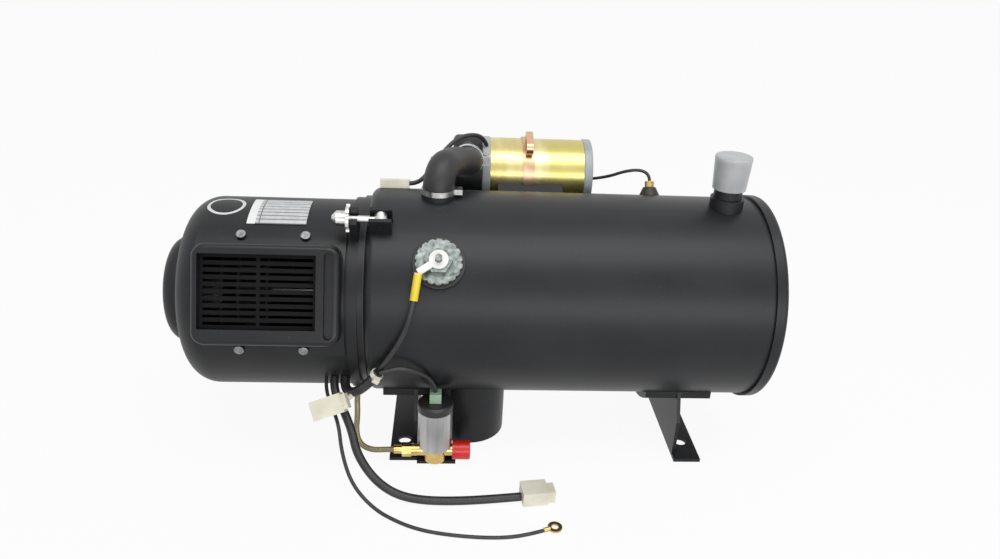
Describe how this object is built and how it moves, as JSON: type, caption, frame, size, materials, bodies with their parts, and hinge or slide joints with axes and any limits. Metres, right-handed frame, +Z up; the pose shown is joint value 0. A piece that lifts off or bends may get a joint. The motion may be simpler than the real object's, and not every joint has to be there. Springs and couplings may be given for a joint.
{
  "type": "diesel coolant heater",
  "caption": "Horizontal black diesel coolant heater with a clamped burner head, air intake frame, side-mounted pump, solenoid valve, feet and trailing cables.",
  "frame": {"origin": "centre of the four foot bolt holes, on the standing surface", "axes": "+X along the body away from the burner head, +Z up, the air intake on the -Y side"},
  "size_m": [0.5765, 0.3423, 0.298],
  "materials": {
    "black_paint": "satin",
    "black_plastic": "matt",
    "grey_plastic": "matt",
    "steel": "zinc plated",
    "aluminium": "cast",
    "zinc_yellow": "yellow zinc",
    "brass": "satin",
    "ceramic": "glazed",
    "coil_resin": "matt",
    "gasket": "matt",
    "label": "printed blank",
    "rubber": "matt",
    "cable_black": "soft sheen",
    "fuel_line": "translucent",
    "nylon": "natural nylon",
    "red_plastic": "gloss",
    "clear_plastic": "translucent"
  },
  "bodies": {
    "heater": {"burner_plate": "black_paint", "jacket_shell": "black_paint", "jacket_end_cap": "black_paint", "burner_housing": "black_paint", "motor_cover": "black_paint", "intake_frame": "black_paint", "foot_right": "black_paint", "foot_left": "black_paint", "exhaust_stub": "black_paint", "water_stubs": "black_paint", "pump_volute": "black_paint", "intake_grille": "black_plastic", "solenoid_cap": "black_plastic", "pump_cradle": "black_plastic", "pump_plug": "grey_plastic", "pump_end_rings": "grey_plastic", "heat_exchanger": "steel", "combustion_chamber": "steel", "burner_motor": "steel", "intake_screws": "steel", "valve_spring": "steel", "solenoid_coil": "steel", "hose_clamps": "steel", "temperature_sensor": "steel", "fuel_pump_body": "aluminium", "pump_can": "zinc_yellow", "pump_strap": "zinc_yellow", "fuel_nozzle": "brass", "valve_body": "brass", "fuel_fitting": "brass", "ring_terminal": "brass", "ignition_electrodes": "ceramic", "ignition_coil": "coil_resin", "flame_sensor": "coil_resin", "flange_gasket": "gasket", "rating_plate": "label", "sensor_rim": "rubber", "overheat_sensor": "rubber", "pump_hose": "rubber", "harness_bundle": "cable_black", "sensor_lead": "cable_black", "valve_lead": "cable_black", "power_cable": "cable_black", "ground_wire": "cable_black", "overheat_lead": "cable_black", "pump_lead": "cable_black", "fuel_hose": "fuel_line", "harness_connector": "nylon", "power_connector": "nylon", "cable_tie": "nylon", "sensor_terminal": "nylon"},
    "burner_wheel": {"burner_shaft": "steel", "blower_wheel": "aluminium"},
    "fuel_gear": {"fuel_idler_gear": "brass"},
    "pump_wheel": {"pump_rotor": "steel"},
    "front_clamp": {"swing_bolt_front": "steel"},
    "rear_clamp": {"swing_bolt_rear": "steel"},
    "transport_cap": {"outlet_cap": "clear_plastic"},
    "fuel_port_cap": {"red_cap": "red_plastic"},
    "plunger": {"valve_plunger": "steel"}
  },
  "joints": [
    {"name": "burner_spin", "type": "hinge", "parent": "heater", "child": "burner_wheel", "pos_m": [-0.25, 0, 0.1437], "axis": [1, 0, 0], "continuous": true},
    {"name": "idler_spin", "type": "hinge", "parent": "heater", "child": "fuel_gear", "pos_m": [-0.2, 0, 0.1251], "axis": [1, 0, 0], "continuous": true},
    {"name": "pump_spin", "type": "hinge", "parent": "heater", "child": "pump_wheel", "pos_m": [-0.01, 0.1098, 0.23883], "axis": [1, 0, 0], "continuous": true},
    {"name": "front_clamp_swing", "type": "hinge", "parent": "heater", "child": "front_clamp", "pos_m": [-0.163, -0.05583, 0.24278], "axis": [0, 0.8616, 0.5075], "range_deg": [0, 95]},
    {"name": "rear_clamp_swing", "type": "hinge", "parent": "heater", "child": "rear_clamp", "pos_m": [-0.163, 0.10958, 0.15759], "axis": [0, 0.0872, -0.9962], "range_deg": [0, 95]},
    {"name": "transport_cap_lift", "type": "slide", "parent": "heater", "child": "transport_cap", "axis": [0, 0, 1], "range_m": [0, 0.035]},
    {"name": "fuel_cap_pull", "type": "slide", "parent": "heater", "child": "fuel_port_cap", "axis": [1, 0, 0], "range_m": [0, 0.02]},
    {"name": "plunger_lift", "type": "slide", "parent": "heater", "child": "plunger", "axis": [0, 0, 1], "range_m": [0, 0.0025], "stiffness_N_per_m": 400, "deforming": ["valve_spring"]}
  ],
  "couplings": [
    {"joint": "idler_spin", "follows": "burner_spin", "ratio": -1}
  ]
}
